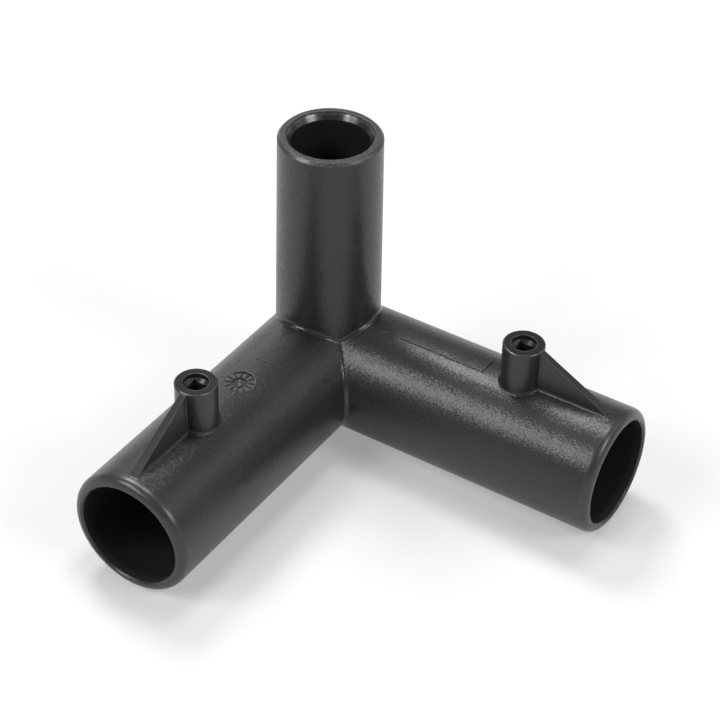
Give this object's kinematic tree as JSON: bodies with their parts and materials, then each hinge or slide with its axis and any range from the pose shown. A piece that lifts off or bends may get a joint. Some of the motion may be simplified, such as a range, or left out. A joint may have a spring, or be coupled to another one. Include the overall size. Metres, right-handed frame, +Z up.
{
  "type": "three-way corner connector",
  "caption": "Moulded plastic corner connector with three blind sockets at right angles, and a screw boss with a triangular rib on each flat arm.",
  "frame": {"origin": "the point where the axes of the three tube sockets cross, which is also the centre of the upright socket's seat", "axes": "+X and +Y run along the two arms, out of their mouths, and +Z runs up the upright, out of its mouth"},
  "size_m": [0.1055, 0.1055, 0.0862],
  "materials": {
    "black_plastic": "fine spark texture, with smooth satin mouths and blends"
  },
  "bodies": {
    "root": {"corner_connector": "black_plastic"}
  },
  "joints": []
}
